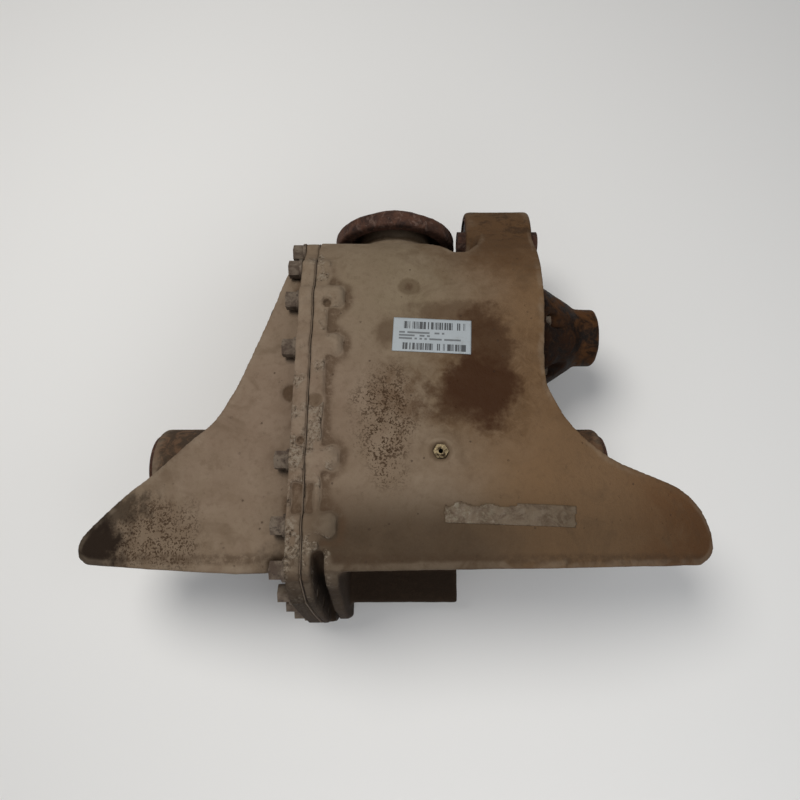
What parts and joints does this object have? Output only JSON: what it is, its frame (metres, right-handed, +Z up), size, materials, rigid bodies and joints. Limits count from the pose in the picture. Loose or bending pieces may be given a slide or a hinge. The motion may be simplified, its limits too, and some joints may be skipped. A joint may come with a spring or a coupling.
{
  "type": "differential gear assembly",
  "caption": "Rear axle final drive with differential: two-part cast casing with wing-shaped mounting arms, input flange, bevel gears, bearings and rubber bushes.",
  "frame": {"origin": "centre of the input flange mating face, on the pinion axis", "axes": "+X along the axle to the right output, +Y along the pinion out of the input flange, +Z up"},
  "size_m": [0.6138, 0.462, 0.231],
  "materials": {
    "cast_aluminium": "dull, coated in dried mud",
    "dark_casting": "dull, oily and rusty",
    "rusty_steel": "rusty",
    "fastener_steel": "dull, dirty",
    "gear_steel": "oiled, dark",
    "case_iron": "machined and cast",
    "bearing_steel": "ground",
    "bush_rubber": "matt, dusty",
    "seal_rubber": "matt",
    "gasket": "matt",
    "brass": "dull",
    "paper": "matt paper",
    "tape": "matt, dusty"
  },
  "bodies": {
    "casing": {"main_housing": "cast_aluminium", "side_cover": "cast_aluminium", "cover_gasket": "gasket", "cover_bolts": "fastener_steel", "dowel_pins": "bearing_steel", "right_output_carrier": "dark_casting", "carrier_bolts": "fastener_steel", "left_output_seal": "seal_rubber", "right_output_seal": "seal_rubber", "pinion_oil_seal": "seal_rubber", "pinion_inner_cup": "bearing_steel", "pinion_outer_cup": "bearing_steel", "left_carrier_cup": "bearing_steel", "right_carrier_cup": "bearing_steel", "left_carrier_shim": "bearing_steel", "right_carrier_shim": "bearing_steel", "front_bush_sleeve": "rusty_steel", "front_bush_rubber": "bush_rubber", "front_bush_inner": "rusty_steel", "rear_left_bush_sleeve": "rusty_steel", "rear_left_bush_rubber": "bush_rubber", "rear_left_bush_inner": "rusty_steel", "rear_right_bush_sleeve": "rusty_steel", "rear_right_bush_rubber": "bush_rubber", "rear_right_bush_inner": "rusty_steel", "breather": "brass", "fill_plug": "fastener_steel", "drain_plug": "fastener_steel", "plug_washers": "brass", "label": "paper", "tape_remnant": "tape"},
    "carrier": {"crown_wheel": "gear_steel", "crown_wheel_bolts": "bearing_steel", "differential_case": "case_iron", "cross_pin": "bearing_steel", "cross_pin_lock": "bearing_steel", "side_thrust_washers": "brass", "planet_thrust_washers": "brass", "left_carrier_cone": "bearing_steel", "right_carrier_cone": "bearing_steel"},
    "pinion": {"drive_pinion": "gear_steel", "pinion_shim": "bearing_steel", "crush_spacer": "bearing_steel", "pinion_inner_cone": "bearing_steel", "pinion_outer_cone": "bearing_steel", "pinion_nut": "bearing_steel", "input_flange": "rusty_steel"},
    "left_side_gear": {"left_side_gear": "gear_steel"},
    "right_side_gear": {"right_side_gear": "gear_steel"},
    "planet_a": {"planet_gear_a": "gear_steel"},
    "planet_b": {"planet_gear_b": "gear_steel"},
    "pinion_inner_cage": {"pinion_inner_rollers": "bearing_steel"},
    "pinion_outer_cage": {"pinion_outer_rollers": "bearing_steel"},
    "left_carrier_cage": {"left_carrier_rollers": "bearing_steel"},
    "right_carrier_cage": {"right_carrier_rollers": "bearing_steel"}
  },
  "joints": [
    {"name": "case_spin", "type": "hinge", "parent": "casing", "child": "carrier", "pos_m": [0, -0.136, 0], "axis": [1, 0, 0], "continuous": true},
    {"name": "pinion_spin", "type": "hinge", "parent": "casing", "child": "pinion", "pos_m": [0, -0.136, 0], "axis": [0, 1, 0], "continuous": true},
    {"name": "left_side_gear_spin", "type": "hinge", "parent": "carrier", "child": "left_side_gear", "pos_m": [0, -0.136, 0], "axis": [1, 0, 0], "continuous": true},
    {"name": "right_side_gear_spin", "type": "hinge", "parent": "carrier", "child": "right_side_gear", "pos_m": [0, -0.136, 0], "axis": [1, 0, 0], "continuous": true},
    {"name": "planet_a_spin", "type": "hinge", "parent": "carrier", "child": "planet_a", "pos_m": [0, -0.136, 0], "axis": [0, 1, 0], "continuous": true},
    {"name": "planet_b_spin", "type": "hinge", "parent": "carrier", "child": "planet_b", "pos_m": [0, -0.136, 0], "axis": [0, 1, 0], "continuous": true},
    {"name": "pinion_inner_cage_spin", "type": "hinge", "parent": "casing", "child": "pinion_inner_cage", "pos_m": [0, -0.136, 0], "axis": [0, 1, 0], "continuous": true},
    {"name": "pinion_outer_cage_spin", "type": "hinge", "parent": "casing", "child": "pinion_outer_cage", "pos_m": [0, -0.136, 0], "axis": [0, 1, 0], "continuous": true},
    {"name": "left_carrier_cage_spin", "type": "hinge", "parent": "casing", "child": "left_carrier_cage", "pos_m": [0, -0.136, 0], "axis": [1, 0, 0], "continuous": true},
    {"name": "right_carrier_cage_spin", "type": "hinge", "parent": "casing", "child": "right_carrier_cage", "pos_m": [0, -0.136, 0], "axis": [1, 0, 0], "continuous": true}
  ],
  "couplings": [
    {"joint": "pinion_spin", "follows": "case_spin", "ratio": 3.7273},
    {"joint": "right_side_gear_spin", "follows": "left_side_gear_spin", "ratio": -1},
    {"joint": "planet_a_spin", "follows": "left_side_gear_spin", "ratio": 1.6},
    {"joint": "planet_b_spin", "follows": "left_side_gear_spin", "ratio": -1.6},
    {"joint": "pinion_inner_cage_spin", "follows": "case_spin", "ratio": 1.5156},
    {"joint": "pinion_outer_cage_spin", "follows": "case_spin", "ratio": 1.5136},
    {"joint": "left_carrier_cage_spin", "follows": "case_spin", "ratio": 0.43083},
    {"joint": "right_carrier_cage_spin", "follows": "case_spin", "ratio": 0.43083}
  ]
}
